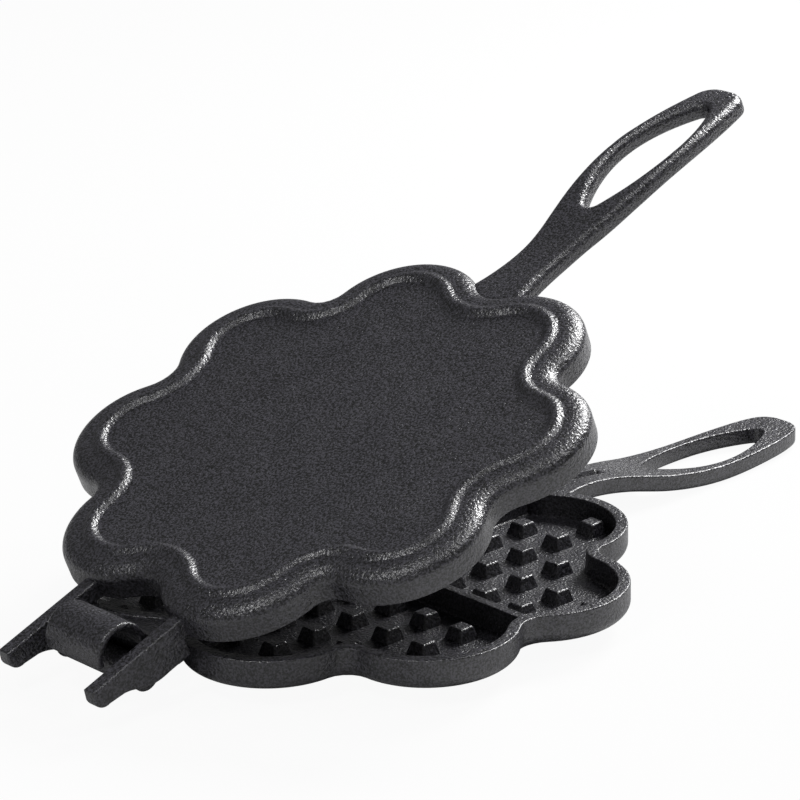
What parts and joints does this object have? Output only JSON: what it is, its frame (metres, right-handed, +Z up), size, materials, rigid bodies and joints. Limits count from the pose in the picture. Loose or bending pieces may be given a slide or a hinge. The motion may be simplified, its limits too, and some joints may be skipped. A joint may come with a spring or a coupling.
{
  "type": "stovetop waffle iron",
  "caption": "Two hinged cast iron plates with a wavy edge, heart-shaped waffle wells with studs inside, and a long loop handle on each plate.",
  "frame": {"origin": "centre of the flat sunken underside of the lower plate", "axes": "+X from the hinge towards the handles, +Z up from the stove, +Y across the plates"},
  "size_m": [0.3673, 0.1926, 0.1491],
  "materials": {
    "lid_iron": "seasoned sand-cast skin, semi-gloss",
    "base_iron": "seasoned sand-cast skin, semi-gloss"
  },
  "bodies": {
    "base": {"lower_plate": "base_iron"},
    "lid": {"upper_plate": "lid_iron"}
  },
  "joints": [
    {"name": "lid_hinge", "type": "hinge", "parent": "base", "child": "lid", "pos_m": [-0.115, 0, 0.0067], "axis": [0, -1, 0], "range_deg": [-20.9, 84.1]}
  ]
}
